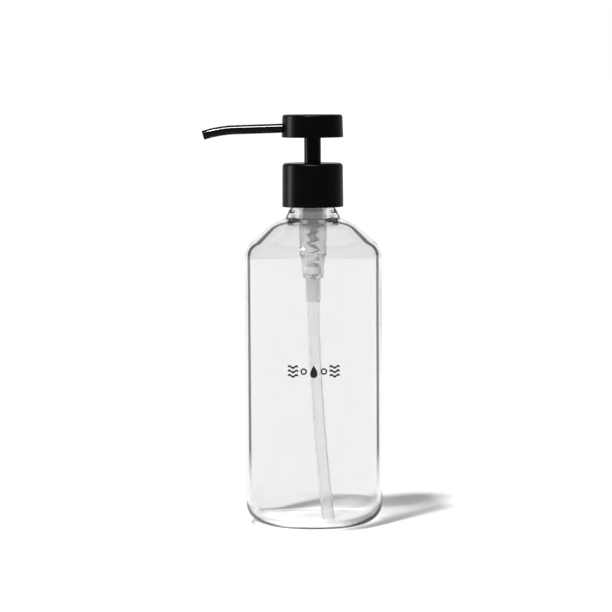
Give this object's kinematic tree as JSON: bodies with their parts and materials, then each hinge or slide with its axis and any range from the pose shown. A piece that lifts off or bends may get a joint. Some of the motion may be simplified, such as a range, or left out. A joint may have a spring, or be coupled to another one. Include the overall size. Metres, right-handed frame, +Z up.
{
  "type": "soap pump dispenser",
  "caption": "Clear round glass bottle with a screw-on hand pump: flat round black head, thin bent spout, black stem and collar, milky housing and dip tube.",
  "frame": {"origin": "centre of the bottle's flat underside, on the bottle's axis", "axes": "+Z up along the bottle's axis, -X towards the spout's tip, +Y to the object's far side when the spout points left"},
  "size_m": [0.0954, 0.073, 0.2185],
  "materials": {
    "bottle_glass": "clear blown glass",
    "satin_black_metal": "satin black powder coat",
    "gloss_black_metal": "glossy black coating",
    "milky_plastic": "milky translucent moulded",
    "tube_plastic": "milky translucent extruded",
    "white_plastic": "natural white moulded",
    "black_plastic": "black moulded",
    "soft_seal": "soft white",
    "spring_steel": "drawn wire",
    "ball_glass": "ground ball"
  },
  "bodies": {
    "bottle": {"glass_bottle": "bottle_glass"},
    "pump_body": {"pump_housing": "milky_plastic", "lock_ring": "white_plastic", "stem_seal": "soft_seal", "neck_gasket": "soft_seal", "ball_retainer": "white_plastic", "return_spring": "spring_steel", "dip_tube": "tube_plastic"},
    "closure": {"collar_shell": "satin_black_metal", "threaded_cap": "black_plastic"},
    "plunger": {"piston_rod": "white_plastic"},
    "piston": {"piston_seal": "soft_seal"},
    "head": {"piston_stem": "white_plastic", "stem_sleeve": "satin_black_metal", "head_insert": "black_plastic", "head_shell": "satin_black_metal", "spout_tube": "gloss_black_metal", "spout_liner": "black_plastic"},
    "ball": {"inlet_ball": "ball_glass"}
  },
  "joints": [
    {"name": "pump_rise", "type": "slide", "parent": "bottle", "child": "pump_body", "axis": [0, 0, 1], "range_m": [0, 0.00635]},
    {"name": "closure_turn", "type": "hinge", "parent": "pump_body", "child": "closure", "pos_m": [0, 0, 0.18], "axis": [0, 0, 1], "range_deg": [0, 540]},
    {"name": "head_press", "type": "slide", "parent": "pump_body", "child": "plunger", "axis": [0, 0, 1], "range_m": [-0.0125, 0], "stiffness_N_per_m": 700, "springref_m": 0.006, "deforming": ["return_spring"]},
    {"name": "head_turn", "type": "hinge", "parent": "plunger", "child": "head", "pos_m": [0, 0, 0.2], "axis": [0, 0, 1], "continuous": true},
    {"name": "piston_float", "type": "slide", "parent": "plunger", "child": "piston", "axis": [0, 0, 1], "range_m": [0, 0.001]},
    {"name": "ball_lift", "type": "slide", "parent": "pump_body", "child": "ball", "axis": [0, 0, 1], "range_m": [0, 0.0011]}
  ],
  "couplings": [
    {"joint": "closure_turn", "follows": "pump_rise", "rad_per_m": 1484.3}
  ]
}
